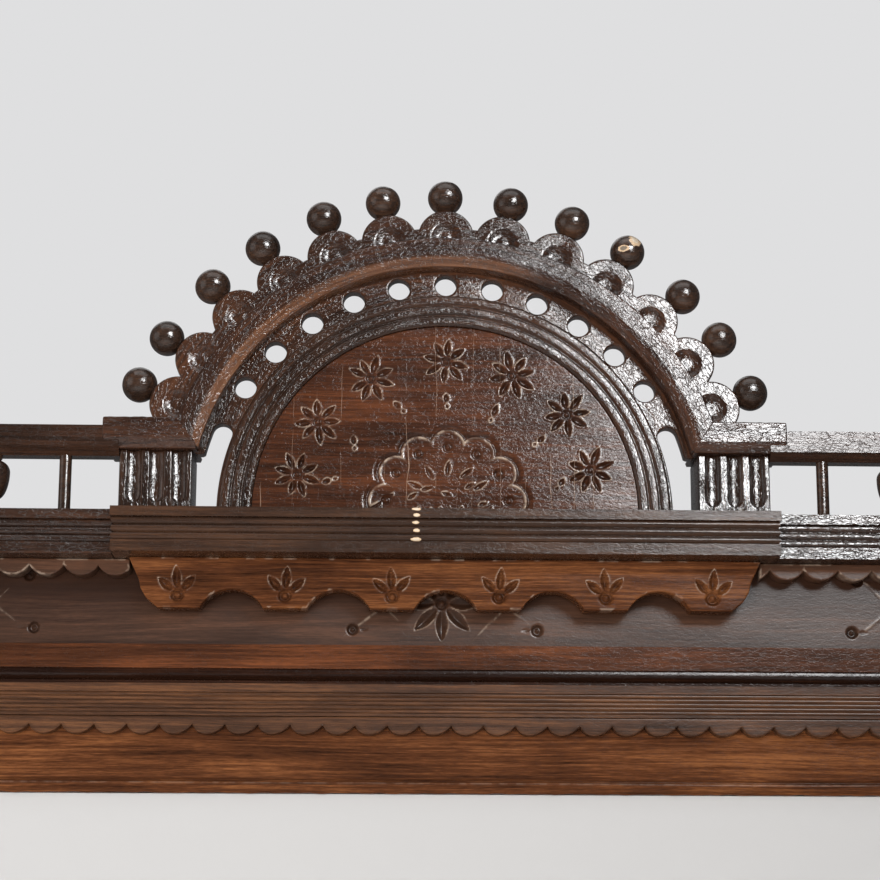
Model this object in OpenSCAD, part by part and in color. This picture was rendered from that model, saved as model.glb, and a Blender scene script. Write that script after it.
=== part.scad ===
// Carved and turned wooden cresting for a bed's headboard: a moulded frieze and cornice,
// an open gallery on each side and a half-round pediment crowned with turned balls.
// X runs along the width, Y from front (-) to back (+) and Z up from the underside.

/* [Overall] */
// Half the width of the carcass, without the mouldings that pass its ends
body_half = 686; // [600:2:760]
// Front face of the frieze board, from which the mouldings' projections are counted
board_y = 6; // [2:1:10]
// Back face of the carcass
back_y = 50; // [46:1:60]

/* [Heights of the carcass, each moulding standing on the last] */
// Height of the base rail's plain face
base_h = 51; // [44:1:64]
// Height of the scalloped strip over it
strip_h = 16; // [14:1:24]
// Height of the reeded waist moulding
waist_h = 28.5; // [24:0.5:32]
// Height of the hollow moulding
cove_h = 15; // [14:0.5:20]
// Height of the plain bead under the frieze
bead_h = 21.5; // [12:0.5:26]
// Height of the open frieze
frieze_h = 75; // [70:0.5:90]
// Height of the reeded cornice
cornice_h = 40; // [36:0.5:44]

/* [Projections in front of the frieze board] */
// Cornice under the pediment
centre_proj = 56; // [50:1:60]
// Cornice under the galleries
side_proj = 42; // [36:1:46]
// Apron that hangs under the centre cornice
apron_proj = 26; // [22:1:30]
// Scalloped strips under the side cornices
side_strip_proj = 18; // [14:1:20]
// Waist moulding
waist_proj = 18; // [14:1:20]
// Scalloped strip at the base
strip_proj = 16; // [12:1:18]
// Plain bead
bead_proj = 8; // [6:1:10]

/* [Pediment] */
// Height of the arcs' centre above the cornice
arch_lift = 7; // [4:0.5:9]
// Radius of the carved panel
panel_r = 175.5; // [168:0.5:180]
// Outer radius of the reeded frame round the panel
frame_r = 204.5; // [202:0.5:206]
// Inner and outer radius of the slots at the feet of the board
slot_r = [208, 226.4]; // [206:0.1:228]
// Radius on which the pierced holes lie
hole_ring_r = 218.4; // [217:0.1:220]
// Radius of each pierced hole
hole_r = 10; // [8:0.5:10.5]
// Angle from one hole to the next
hole_pitch_a = 11.46; // [11:0.01:11.6]
// Inner radius of the hood moulding's flat face
hood_in_r = 240.6; // [239:0.1:243]
// Outer radius of the hood moulding
hood_r = 257.5; // [255:0.5:260]
// Radius of the board between the lobes
board_r = 274.5; // [272:0.5:276]
// Radius on which the lobes' centres lie
lobe_ring_r = 266; // [264:0.5:268]
// Radius of each lobe
lobe_r = 26; // [24:0.5:26]
// Radius on which the balls' centres lie
ball_ring_r = 306.5; // [306:0.5:307.5]
// Radius of each turned ball
ball_r = 16.5; // [15.5:0.5:17]
// Angle from one lobe to the next
pitch_a = 11.4; // [11.2:0.05:11.5]
// Thickness of the pediment board
pediment_t = 14; // [12:1:16]

/* [Pedestals and gallery] */
// Inner side of each pedestal
pedestal_in = 230; // [229:0.5:233]
// Outer side of each pedestal
pedestal_out = 295.5; // [292:0.5:299]
// How far the caps pass the pedestals at the front
cap_over = 10; // [8:1:12]
// How far the caps pass the pedestals at the side
cap_side = 15; // [10:1:16]
// Top of the caps above the cornice
cap_top = 91; // [89:0.5:93]
// Height of the caps' bevelled underside
cap_bevel = 9.5; // [8:0.5:10.5]
// Height of the caps' flat face
cap_face = 19; // [18:0.5:20.5]
// Distance from a plain rod to the next turned baluster
gallery_pitch = 65; // [60:1:66]
// Distance from the middle to the first plain rod
first_rod = 344; // [336:1:350]
// Radius of a plain rod
rod_r = 5.5; // [4.5:0.5:6.5]

/* [Joinery] */
// Radius of the sockets in the underside, for dowels on the headboard
socket_r = 6; // [4:0.5:8]
// Depth of those sockets
socket_depth = 30; // [20:1:35]
// Distance of the outer and inner sockets from the middle
socket_x = [200, 560]; // [100:10:620]

/* [Hidden] */
$fn = 64;

// Colours of the varnished wood, the raw wood at the back and the steel
DARK = [0.22, 0.12, 0.08];
RED = [0.36, 0.18, 0.09];
TURNED = [0.17, 0.09, 0.06];
RAW = [0.62, 0.46, 0.30];
STEEL = [0.55, 0.55, 0.57];

// Heights of the joints between the carcass's mouldings
z_strip = base_h;
z_waist = z_strip + strip_h;
z_cove = z_waist + waist_h;
z_bead = z_cove + cove_h;
z_frieze = z_bead + bead_h;
z_cornice = z_frieze + frieze_h;
z_top = z_cornice + cornice_h;

// Base rail, frieze board and the parts behind them
rail_proj = 4;
carcass_t = 22;
inner_y = board_y + carcass_t;
cheek_t = 20;
top_t = 11;
back_rail_h = 60;
batten_w = 50;
batten_x = [-340, 0, 340];
groove_z = 10;
groove_w = 3;
groove_d = 2;

// Cornice: plain fillets above and below a row of reeds
reed_n = 3;
reed_pitch = 7;
reed_r = 3.6;
cornice_foot = 10.2;
centre_half = 296;

// Scallops: an arc of the given pitch and drop between pointed notches
base_scallop = [28.56, 8];
base_scallop_off = -10.8;
side_scallop = [30.8, 9];
side_strip_h = 15;

// Apron
apron_h = 45;
apron_t = 20;
apron_top_x = 282;
apron_foot_x = 255;
sprig_drop = 34;
apron_pitch = 95.2;
apron_arch_w = 55.8;
apron_arch_h = 17;
apron_bead_h = 11;

// Pilasters, pedestals and posts
pilaster_w = 48;
pedestal_y0 = board_y - 10;
pedestal_y1 = board_y + 38;
pedestal_h = cap_top - cap_face - cap_bevel;
flute_w = 13.5;
flute_pitch = 20.4;
flute_foot = 15;
flute_d = 4;
post_w = 40;
post_x = body_half - 24;
hood_y = pedestal_y0 - cap_over;

// Gallery
rail_h = 27;
rail_w = 22;
rail_top = cap_top - 8;
rail_y0 = board_y - 19;
rail_bevel = [8, 7.5];
gallery_y = rail_y0 + rail_w / 2;
tenon_r = 4;
tenon_l = 10;

// Pediment: the balls, lobes and holes are set out on both sides of the middle
pediment_y1 = board_y + pediment_t;
pediment_mid_y = board_y + pediment_t / 2;
lobe_n = 6;
hole_n = 5;
panel_proj = 8;
frame_proj = 12;
slot_head_a = 20;
slot_end_z = 61.5;
slot_clear = 18;
end_lobe_in = 1;
ball_off_a = [0.7, -0.2, 0.6, 0.3, 0.9, 0.3, -0.1, 0.1, 0, -0.4, 0.7, -0.7, -0.2];
peg_r = 3;
peg_in = 12;
shelf_peg_r = 4;
shelf_peg_x = [80, 160, 248, 282];
shelf_peg_reach = 20;
bevel_d = 4;

// Screws through the back rail and the battens
screw_r = 2;
screw_head_r = 4;
screw_l = 38;
screw_x = [80, 250, 420, 590];
rail_screw_z = 34;
batten_screw_z = [100, 200];

// Carved ornament
petal_depth = 2;
flower_ring_r = 149;
flower_pitch = 24;
rosette_x = 460;
rosette_z = z_frieze + 45;

function mirror_pair(v) = concat([for (x = v) -x], v);
function circle_through(half_chord, rise) =
    (half_chord * half_chord + rise * rise) / (2 * rise);

// ---- Helpers ---------------------------------------------------------------

// Extrudes a profile drawn as [y, z] along X
module along_x(x0, x1) {
    translate([x0, 0, 0]) rotate([90, 0, 90]) linear_extrude(x1 - x0) children();
}

// Extrudes an outline drawn as [x, z] through the depth y0 to y1
module through_y(y0, y1) {
    translate([0, y1, 0]) rotate([90, 0, 0]) linear_extrude(y1 - y0) children();
}

// Takes children from the centre of the pediment's arcs to their place
module on_pediment() {
    translate([0, 0, z_top + arch_lift]) children();
}

// Turns a profile drawn as [radius, y] through the upper half circle
module half_turn(angle = 180) {
    rotate([90, 0, 0]) rotate_extrude(angle = angle, $fn = 180) mirror([0, 1]) children();
}

module both_sides() {
    children();
    mirror([1, 0, 0]) children();
}

// One half of a moulding: along the front from x_from, then mitred round the end
module mitred_run(x_from, x_end, reach) {
    depth = back_y - board_y;
    inner = [x_end - depth, back_y];
    outer = [x_end + reach + 1, board_y - reach - 1];
    front_plan = [[x_from, outer[1]], outer, inner, [x_from, back_y]];
    end_plan = [inner, outer, [outer[0], back_y]];
    intersection() {
        along_x(x_from, x_end + reach) children();
        translate([0, 0, -1]) linear_extrude(z_top + 2) polygon(front_plan);
    }
    intersection() {
        translate([x_end + board_y, back_y, 0]) mirror([1, 0, 0]) rotate([90, 0, 0])
            linear_extrude(depth + reach) children();
        translate([0, 0, -1]) linear_extrude(z_top + 2) polygon(end_plan);
    }
}

// Lens-shaped gouge cut from the origin along X, and a ring of them
module gouge_2d(length, width) {
    r = circle_through(length / 2, width / 2);
    intersection() {
        translate([length / 2, r - width / 2]) circle(r = r);
        translate([length / 2, width / 2 - r]) circle(r = r);
    }
}

module rosette_2d(petals, inner, outer, width) {
    for (i = [0:petals - 1])
        rotate(i * 360 / petals) translate([inner, 0]) gouge_2d(outer - inner, width);
}

// Strip whose lower edge hangs in arcs; drawn as [x, z] from the notches' tops up
module scallop_2d(x0, x1, z_foot, height, pitch_drop, centred) {
    pitch = pitch_drop[0];
    drop = pitch_drop[1];
    r = circle_through(pitch / 2, drop);
    first = centred ? -ceil(x1 / pitch) : 0;
    last = ceil((x1 - x0) / pitch);
    start = centred ? base_scallop_off : x0 + pitch / 2;
    translate([x0, z_foot + drop]) square([x1 - x0, height - drop]);
    intersection() {
        translate([x0, z_foot]) square([x1 - x0, drop + 1]);
        for (i = [first:last])
            translate([start + i * pitch, z_foot + r]) circle(r = r);
    }
}

// Round-bottomed flutes cut in a face at y_face, from z0 up to z1
module flutes(count, x_mid, spacing, y_face, z0, z1) {
    r = circle_through(flute_w / 2, flute_d);
    for (i = [0:count - 1])
        translate([x_mid + (i - (count - 1) / 2) * spacing, y_face + flute_d - r, z0 + r]) {
            cylinder(r = r, h = z1 - z0 - r);
            sphere(r = r);
        }
}

// ---- Carcass ---------------------------------------------------------------

module base_rail() {
    y0 = board_y - rail_proj;
    half = body_half + rail_proj;
    color(RED) difference() {
        translate([-half, y0, 0]) cube([2 * half, inner_y - y0, z_waist]);
        translate([-half - 1, y0 - 1, groove_z]) cube([2 * half + 2, groove_d + 1, groove_w]);
        for (x = mirror_pair(socket_x))
            translate([x, (y0 + inner_y) / 2, -1]) cylinder(r = socket_r, h = socket_depth + 1);
        for (x = mirror_pair(screw_x))
            translate([x, back_y, rail_screw_z]) rotate([90, 0, 0]) cylinder(r = screw_r, h = screw_l);
    }
}

module lower_scallop_strip() {
    y0 = board_y - strip_proj;
    y1 = board_y - rail_proj;
    half = body_half + strip_proj;
    color(DARK) {
        through_y(y0, y1) scallop_2d(-half, half, z_strip, strip_h, base_scallop, true);
        both_sides() translate([body_half + rail_proj, y1, z_strip])
            cube([strip_proj - rail_proj, back_y - y1, strip_h]);
    }
}

// Fillet, fine reeds and a top fillet, as [y, z]
module waist_profile() {
    y0 = board_y - waist_proj;
    reeds = 5;
    foot = 2.5;
    head = 7.5;
    pitch = (waist_h - foot - head) / reeds;
    translate([y0, z_waist]) square([waist_proj, foot]);
    translate([y0 + 2, z_waist]) square([waist_proj - 2, waist_h]);
    translate([y0, z_cove - head]) square([waist_proj, head]);
    for (i = [0:reeds - 1])
        translate([y0 + 2.4, z_waist + foot + pitch * (i + 0.5)]) circle(r = pitch / 2 + 0.1, $fn = 24);
}

module waist_moulding() {
    color(DARK) both_sides() mitred_run(0, body_half, waist_proj) waist_profile();
}

module cove_profile() {
    lip_y = board_y - strip_proj;
    difference() {
        translate([lip_y, z_cove]) square([board_y - lip_y, cove_h]);
        translate([lip_y - 2, z_bead]) circle(r = 12.5);
    }
}

module cove_moulding() {
    color(TURNED) both_sides() mitred_run(0, body_half, strip_proj) cove_profile();
}

module bead_profile() {
    translate([board_y - bead_proj, z_bead]) square([bead_proj, bead_h]);
}

module frieze_bead() {
    color(RED) both_sides() mitred_run(0, body_half, bead_proj) bead_profile();
}

// A rosette between two lattices of crossed lines that end in drilled rings
module frieze_motif() {
    line = 1.6;
    cross_x = 55;
    ring = [83, 24];
    tilt = atan2(ring[1], ring[0] - cross_x);
    rosette_2d(8, 6, 32, 9);
    for (side = [-1, 1]) {
        for (turn = [-tilt, tilt])
            translate([side * cross_x, 0]) rotate(turn) square([64, line], center = true);
        for (up = [-1, 1])
            translate([side * ring[0], up * ring[1]]) difference() {
                circle(r = 5.5);
                circle(r = 2.5);
            }
    }
}

module frieze_board() {
    color(DARK) difference() {
        translate([-body_half, board_y, z_waist])
            cube([2 * body_half, carcass_t, z_top - top_t - z_waist]);
        for (x = [-rosette_x, 0, rosette_x])
            translate([x, 0, rosette_z]) through_y(board_y - 1, board_y + petal_depth) frieze_motif();
        shelf_dowel_set();
        for (x = batten_x, z = batten_screw_z)
            translate([x, back_y, z]) rotate([90, 0, 0]) cylinder(r = screw_r, h = screw_l);
    }
}

module end_pilaster() {
    y0 = board_y - bead_proj;
    z1 = z_cornice - side_strip_h;
    difference() {
        translate([body_half - pilaster_w, y0, z_frieze]) cube([pilaster_w, bead_proj, z1 - z_frieze]);
        flutes(2, body_half - pilaster_w / 2, 20, y0, z_frieze + 8, z1 + 8);
    }
}

module end_pilaster_left() {
    color(DARK) mirror([1, 0, 0]) end_pilaster();
}

module end_pilaster_right() {
    color(DARK) end_pilaster();
}

module side_scallop() {
    y0 = board_y - side_strip_proj;
    z0 = z_cornice - side_strip_h;
    x1 = body_half + side_strip_proj;
    through_y(y0, board_y) scallop_2d(apron_top_x, x1, z0, side_strip_h, side_scallop, false);
    translate([body_half, board_y, z0]) cube([side_strip_proj, back_y - board_y, side_strip_h]);
}

module side_scallop_left() {
    color(DARK) mirror([1, 0, 0]) side_scallop();
}

module side_scallop_right() {
    color(DARK) side_scallop();
}

// Fillet, reeds and a deeper top fillet that project proj from the board, as [y, z]
module cornice_profile(proj) {
    y0 = board_y - proj;
    reeds_h = reed_n * reed_pitch;
    translate([y0 + 1, z_cornice]) square([proj - 1, cornice_foot]);
    translate([y0 + 3.5, z_cornice]) square([proj - 3.5, cornice_h]);
    translate([y0, z_cornice + cornice_foot + reeds_h])
        square([proj, cornice_h - cornice_foot - reeds_h]);
    for (i = [0:reed_n - 1])
        translate([y0 + 1 + reed_r, z_cornice + cornice_foot + reed_pitch * (i + 0.5)])
            circle(r = reed_r);
}

module cornice_centre() {
    color(DARK) intersection() {
        both_sides() mitred_run(0, centre_half - centre_proj, centre_proj) cornice_profile(centre_proj);
        translate([-centre_half, board_y - centre_proj, z_cornice])
            cube([2 * centre_half, centre_proj, cornice_h]);
    }
}

module cornice_side() {
    difference() {
        mitred_run(centre_half, body_half, side_proj) cornice_profile(side_proj);
        gallery_tenons();
    }
}

module cornice_left() {
    color(DARK) mirror([1, 0, 0]) cornice_side();
}

module cornice_right() {
    color(DARK) cornice_side();
}

// The apron's outline: hollowed ends, and arches in the lower edge, as [x, z]
module apron_outline() {
    z0 = z_cornice - apron_h;
    arch_r = circle_through(apron_arch_w / 2, apron_arch_h);
    // How far in from the corner the end's slant has come, and how far below the cornice
    end = [[0, 0], [9, 19], [11, 27.5], [16, 36], [apron_top_x - apron_foot_x, apron_h + 1]];
    difference() {
        translate([-apron_top_x, z0]) square([2 * apron_top_x, apron_h]);
        for (i = [-2:2])
            translate([i * apron_pitch, z0 + apron_arch_h - arch_r]) circle(r = arch_r);
        for (side = [-1, 1])
            polygon([for (p = concat(end, [[-1, apron_h + 1], [-1, 0]])) [side * (apron_top_x - p[0]), z_cornice - p[1]]]);
    }
}

// Three leaves over a small ring
module sprig_2d() {
    for (turn = [-42, 0, 42])
        rotate(90 + turn) translate([6, 0]) gouge_2d(turn == 0 ? 22 : 18, 6.5);
    difference() {
        circle(r = 4.5);
        circle(r = 2);
    }
}

module apron() {
    y0 = board_y - apron_proj;
    color(RED) {
        difference() {
            through_y(y0, y0 + apron_t) apron_outline();
            for (i = [-2.5:2.5])
                translate([i * apron_pitch, 0, z_cornice - sprig_drop])
                    through_y(y0 - 1, y0 + petal_depth) sprig_2d();
        }
        translate([-apron_top_x + 3, y0 - 2, z_cornice - apron_bead_h])
            cube([2 * apron_top_x - 6, 4, apron_bead_h]);
    }
}

// Strip that holds the apron off the frieze
module apron_packing() {
    depth = apron_proj - apron_t;
    color(RAW) translate([-apron_foot_x, board_y - depth, z_cornice - 22])
        cube([2 * apron_foot_x, depth, 22]);
}

module end_cheek() {
    translate([body_half - cheek_t, inner_y, z_waist])
        cube([cheek_t, back_y - inner_y, z_top - top_t - z_waist]);
    translate([body_half - cheek_t, inner_y, 0])
        cube([cheek_t + rail_proj, back_y - inner_y, z_waist]);
}

module end_cheek_left() {
    color(DARK) mirror([1, 0, 0]) end_cheek();
}

module end_cheek_right() {
    color(DARK) end_cheek();
}

module top_board() {
    color(DARK) difference() {
        translate([-body_half, board_y, z_top - top_t])
            cube([2 * body_half, back_y - board_y, top_t]);
        shelf_dowel_set();
    }
}

module back_rail() {
    half = body_half - cheek_t;
    color(RAW) difference() {
        translate([-half, inner_y, 0]) cube([2 * half, back_y - inner_y, back_rail_h]);
        for (x = mirror_pair(screw_x))
            translate([x, 0, rail_screw_z]) screw_solid();
    }
}

module back_battens() {
    color(RAW) difference() {
        for (x = batten_x)
            translate([x - batten_w / 2, inner_y, back_rail_h])
                cube([batten_w, back_y - inner_y, z_top - top_t - back_rail_h]);
        for (x = batten_x, z = batten_screw_z)
            translate([x, 0, z]) screw_solid();
    }
}

// Triangular blocks rubbed into the corner under the top board
module glue_blocks() {
    leg = 18;
    color(RAW) for (x = mirror_pair([100, 220, 460, 580]))
        along_x(x - 30, x + 30)
            polygon([[inner_y, z_top - top_t], [inner_y + leg, z_top - top_t], [inner_y, z_top - top_t - leg]]);
}

// Countersunk wood screw driven from the back face
module screw_solid() {
    rotate([90, 0, 0]) translate([0, 0, -back_y]) {
        cylinder(r = screw_r, h = screw_l);
        cylinder(r1 = screw_head_r, r2 = screw_r, h = screw_head_r - screw_r);
    }
}

module screws() {
    color(STEEL) {
        for (x = mirror_pair(screw_x))
            translate([x, 0, rail_screw_z]) screw_solid();
        for (x = batten_x, z = batten_screw_z)
            translate([x, 0, z]) screw_solid();
    }
}

// ---- Pediment --------------------------------------------------------------

// Everything on the cap's side of the mitre between the hood and its cap, as [x, z]
module mitre_side(reach) {
    top = cap_top - arch_lift;
    outer = [sqrt(hood_r * hood_r - top * top), top];
    foot = pedestal_h - arch_lift;
    inner_r = hood_in_r - cap_bevel;
    inner = [sqrt(inner_r * inner_r - foot * foot), foot];
    step = outer - inner;
    polygon([outer + reach * step, inner - reach * step,
        [600, inner[1] - reach * step[1]], [600, outer[1] + reach * step[1]]]);
}

// The end lobes stand a little closer to their neighbours than the others
function lobe_a(i) = i * pitch_a - (abs(i) == lobe_n ? sign(i) * end_lobe_in : 0);
function ball_a(i) = lobe_a(i) + ball_off_a[i + lobe_n];

// Sockets for the pegs between the lobes and the balls
module finial_peg_set() {
    on_pediment() for (i = [-lobe_n:lobe_n])
        rotate([0, ball_a(i), 0]) translate([0, pediment_mid_y, ball_ring_r - ball_r - peg_in])
            cylinder(r = peg_r, h = 2 * peg_in);
}

module shelf_dowel_set() {
    for (x = concat([0], mirror_pair(shelf_peg_x)))
        translate([x, pediment_mid_y, z_top - top_t - shelf_peg_reach])
            cylinder(r = shelf_peg_r, h = top_t + 2 * shelf_peg_reach);
}

// The slot between the panel's frame and a pedestal, round-headed at the top
module end_slot_2d() {
    slot_w = slot_r[1] - slot_r[0];
    intersection() {
        difference() {
            circle(r = slot_r[1]);
            circle(r = slot_r[0]);
        }
        polygon([[0, 0], [400, -40], [400 * cos(slot_head_a), 400 * sin(slot_head_a)]]);
    }
    rotate(slot_head_a) translate([slot_r[0] + slot_w / 2, 0]) circle(r = slot_w / 2 - 0.2);
    translate([pedestal_in - slot_clear, -arch_lift - 1]) square([slot_clear + 1, slot_end_z + 1]);
}

module pediment_outline() {
    difference() {
        union() {
            circle(r = board_r, $fn = 180);
            for (i = [-lobe_n:lobe_n])
                rotate(-lobe_a(i)) translate([0, lobe_ring_r]) circle(r = lobe_r);
        }
        translate([-400, -400 - arch_lift]) square([800, 400]);
        for (i = [-hole_n:hole_n])
            rotate(i * hole_pitch_a) translate([0, hole_ring_r]) circle(r = hole_r);
        for (side = [0, 1])
            mirror([side, 0]) {
                translate([pedestal_in, -arch_lift - 1]) square([200, cap_top + 1]);
                end_slot_2d();
            }
    }
}

// Cutter for the V-shaped ring in a lobe, sunk along -Z from the origin
module lobe_groove() {
    ring_r = 12;
    half_w = 2.8;
    depth = 2.4;
    rotate_extrude() polygon([[ring_r - 2 * half_w, depth], [ring_r + 2 * half_w, depth], [ring_r, -depth]]);
}

module pediment_board() {
    color(RED) difference() {
        on_pediment() through_y(board_y, pediment_y1) pediment_outline();
        on_pediment() for (i = [-lobe_n:lobe_n])
            rotate([0, lobe_a(i), 0]) translate([0, board_y, lobe_ring_r]) rotate([90, 0, 0])
                lobe_groove();
        finial_peg_set();
        shelf_dowel_set();
    }
}

// Seven flowers, a bud under each, and a scalloped cloud over the panel's foot
module tympanum_carving() {
    for (i = [-3:3])
        rotate(i * flower_pitch) {
            translate([0, flower_ring_r]) rosette_2d(8, 5, 22, 6.5);
            translate([0, flower_ring_r - 36]) rotate(90) gouge_2d(9, 5);
        }
    translate([0, 12]) {
        difference() {
            cloud_edge(2);
            cloud_edge(0);
            translate([-100, -100]) square([200, 88]);
        }
        for (i = [-3:3])
            rotate(i * 28) {
                translate([0, 58]) circle(r = 2.6);
                translate([0, 32]) rotate(90) gouge_2d(16, 6);
            }
    }
}

module cloud_edge(grow) {
    circle(r = 60 + grow);
    for (i = [-3:3])
        rotate(i * 28) translate([0, 58]) circle(r = 17 + grow);
}

module tympanum_panel() {
    y0 = board_y - panel_proj;
    color(RED) on_pediment() difference() {
        through_y(y0, board_y) difference() {
            circle(r = panel_r, $fn = 180);
            translate([-400, -400 - arch_lift]) square([800, 400]);
        }
        through_y(y0 - 1, y0 + petal_depth) translate([0, -arch_lift]) tympanum_carving();
    }
}

// Section of the reeded frame, as [radius, y]
module frame_section() {
    width = frame_r - panel_r;
    reeds = 3;
    r = width / reeds / 2 + 0.2;
    translate([panel_r, board_y - frame_proj + r]) square([width, frame_proj - r]);
    for (i = [0:reeds - 1])
        translate([panel_r + width / reeds * (i + 0.5), board_y - frame_proj + r])
            circle(r = width / reeds / 2 + (i == 1 ? 0.2 : 0), $fn = 32);
}

// The half ring runs straight down from the arcs' centre to the cornice
module reeded_frame() {
    color(DARK) on_pediment() {
        half_turn() frame_section();
        both_sides() translate([0, 0, -arch_lift]) linear_extrude(arch_lift) frame_section();
    }
}

module hood_arch() {
    color(DARK) on_pediment() difference() {
        half_turn() polygon([[hood_in_r - cap_bevel, hood_y + bevel_d], [hood_in_r, hood_y],
            [hood_r, hood_y], [hood_r, board_y], [hood_in_r - cap_bevel, board_y]]);
        both_sides() through_y(hood_y - 1, board_y + 1) mitre_side(4);
    }
}

// A bevel of the cap's size, cut from an edge that runs along X at the origin
module cap_bevel_cut(length) {
    along_x(-1, length + 1)
        polygon([[-1, -1], [bevel_d, -1], [bevel_d, 0], [0, cap_bevel], [-1, cap_bevel]]);
}

// Cap between x0 and x1 with its front edge, and the chosen sides, bevelled below
module cap_block(x0, x1, bevel_low, bevel_high) {
    height = cap_face + cap_bevel;
    corner = 3;
    difference() {
        union() {
            translate([x0, hood_y, 0]) cube([x1 - x0 - corner, pedestal_y1 - hood_y, height]);
            translate([x1 - corner - 1, hood_y, 0])
                cube([corner + 1, pedestal_y1 - hood_y, height - corner]);
            translate([x1 - corner, pedestal_y1, height - corner]) rotate([90, 0, 0])
                cylinder(r = corner, h = pedestal_y1 - hood_y);
        }
        translate([x0, hood_y, 0]) cap_bevel_cut(x1 - x0);
        if (bevel_high)
            translate([x1, hood_y, 0]) rotate([0, 0, 90]) cap_bevel_cut(pedestal_y1 - hood_y);
        if (bevel_low)
            translate([x0, pedestal_y1, 0]) rotate([0, 0, -90]) cap_bevel_cut(pedestal_y1 - hood_y);
    }
}

module hood_cap() {
    x1 = pedestal_out + cap_side;
    intersection() {
        translate([0, 0, z_top + pedestal_h]) cap_block(pedestal_in - 8, x1, false, true);
        union() {
            on_pediment() through_y(hood_y - 1, board_y) mitre_side(4);
            translate([pedestal_in, board_y - 0.5, z_top]) cube([200, 60, cap_top]);
        }
    }
}

module hood_cap_left() {
    color(DARK) mirror([1, 0, 0]) hood_cap();
}

module hood_cap_right() {
    color(DARK) hood_cap();
}

module fluted_block(x0, x1, count, spacing) {
    difference() {
        translate([x0, pedestal_y0, z_top]) cube([x1 - x0, pedestal_y1 - pedestal_y0, pedestal_h]);
        flutes(count, (x0 + x1) / 2, spacing, pedestal_y0, z_top + flute_foot, z_top + pedestal_h + 9);
    }
}

module pedestal() {
    difference() {
        fluted_block(pedestal_in, pedestal_out, 3, flute_pitch);
        shelf_dowel_set();
    }
}

module pedestal_left() {
    color(DARK) mirror([1, 0, 0]) pedestal();
}

module pedestal_right() {
    color(DARK) pedestal();
}

// Uprights that stiffen the pediment from behind
module pediment_battens() {
    color(RAW) both_sides() translate([92, pediment_y1, z_top]) cube([36, 18, 156]);
}

module shelf_dowels() {
    color(RAW) shelf_dowel_set();
}

module finial_dowels() {
    color(RAW) finial_peg_set();
}

// Turned ball, hollowed underneath to sit on its lobe
module ball_finial(number) {
    i = number - lobe_n - 1;
    color(TURNED) on_pediment() difference() {
        rotate([0, ball_a(i), 0]) translate([0, pediment_mid_y, ball_ring_r]) sphere(r = ball_r);
        rotate([0, lobe_a(i), 0]) translate([0, pediment_mid_y - 30, lobe_ring_r]) rotate([-90, 0, 0])
            cylinder(r = lobe_r, h = 60);
        rotate([0, ball_a(i), 0]) translate([0, pediment_mid_y, ball_ring_r - ball_r - 1])
            cylinder(r = peg_r, h = peg_in + 1);
    }
}

// ---- Gallery ---------------------------------------------------------------

function rod_x(i) = first_rod + 2 * i * gallery_pitch;
function baluster_x(i) = first_rod + (2 * i + 1) * gallery_pitch;

// Tenons of every rod and baluster on the right, into the cornice and the rail
module gallery_tenons() {
    spindle_x = concat([for (i = [0:2]) rod_x(i)], [for (i = [0:1]) baluster_x(i)]);
    for (x = spindle_x)
        translate([x, gallery_y, z_top - tenon_l])
            cylinder(r = tenon_r, h = rail_top - rail_h + 2 * tenon_l);
}

module gallery_rail() {
    x0 = pedestal_out;
    x1 = post_x - post_w / 2;
    z0 = z_top + rail_top - rail_h;
    difference() {
        along_x(x0, x1) polygon([[rail_y0 + rail_bevel[0], z0], [rail_y0, z0 + rail_bevel[1]],
            [rail_y0, z0 + rail_h], [rail_y0 + rail_w, z0 + rail_h], [rail_y0 + rail_w, z0]]);
        hood_cap();
        end_cap();
        gallery_tenons();
    }
}

module gallery_rail_left() {
    color(DARK) mirror([1, 0, 0]) gallery_rail();
}

module gallery_rail_right() {
    color(DARK) gallery_rail();
}

// A rod or baluster keeps its tenons and the body between the cornice and the rail
module spindle(x) {
    translate([x, gallery_y, z_top]) {
        children();
        translate([0, 0, -tenon_l]) cylinder(r = tenon_r, h = rail_top - rail_h + 2 * tenon_l);
    }
}

module gallery_rods() {
    for (i = [0:2])
        spindle(rod_x(i)) cylinder(r = rod_r, h = rail_top - rail_h);
}

module gallery_rods_left() {
    color(TURNED) mirror([1, 0, 0]) gallery_rods();
}

module gallery_rods_right() {
    color(TURNED) gallery_rods();
}

// Vase-shaped baluster: foot ring, slender stem, full bulb and narrow neck
module baluster(i) {
    length = rail_top - rail_h;
    bulb_z = 41;
    bulb_r = 15;
    stem_r = 4.6;
    bulb = [for (a = [-90:10:58]) let (low = a < 0)
        [stem_r + (bulb_r - stem_r) * cos(a), bulb_z + (low ? 26 : 11) * sin(a)]];
    spindle(baluster_x(i)) {
        rotate_extrude() polygon(concat([[0, 0], [8, 0], [10, 2], [10, 6], [7.5, 8.5], [stem_r, 11]],
            bulb, [[5.5, length - 5], [8, length - 3], [8, length], [0, length]]));
    }
}

module baluster_left_inner() {
    color(TURNED) mirror([1, 0, 0]) baluster(0);
}

module baluster_left_outer() {
    color(TURNED) mirror([1, 0, 0]) baluster(1);
}

module baluster_right_inner() {
    color(TURNED) baluster(0);
}

module baluster_right_outer() {
    color(TURNED) baluster(1);
}

module end_post() {
    fluted_block(post_x - post_w / 2, post_x + post_w / 2, 2, flute_pitch - 2.4);
}

module end_post_left() {
    color(DARK) mirror([1, 0, 0]) end_post();
}

module end_post_right() {
    color(DARK) end_post();
}

module end_cap() {
    half = post_w / 2 + cap_over;
    translate([0, 0, z_top + pedestal_h]) cap_block(post_x - half, post_x + half, true, true);
}

module end_cap_left() {
    color(DARK) mirror([1, 0, 0]) end_cap();
}

module end_cap_right() {
    color(DARK) end_cap();
}

// ---- Nodes -----------------------------------------------------------------

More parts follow.
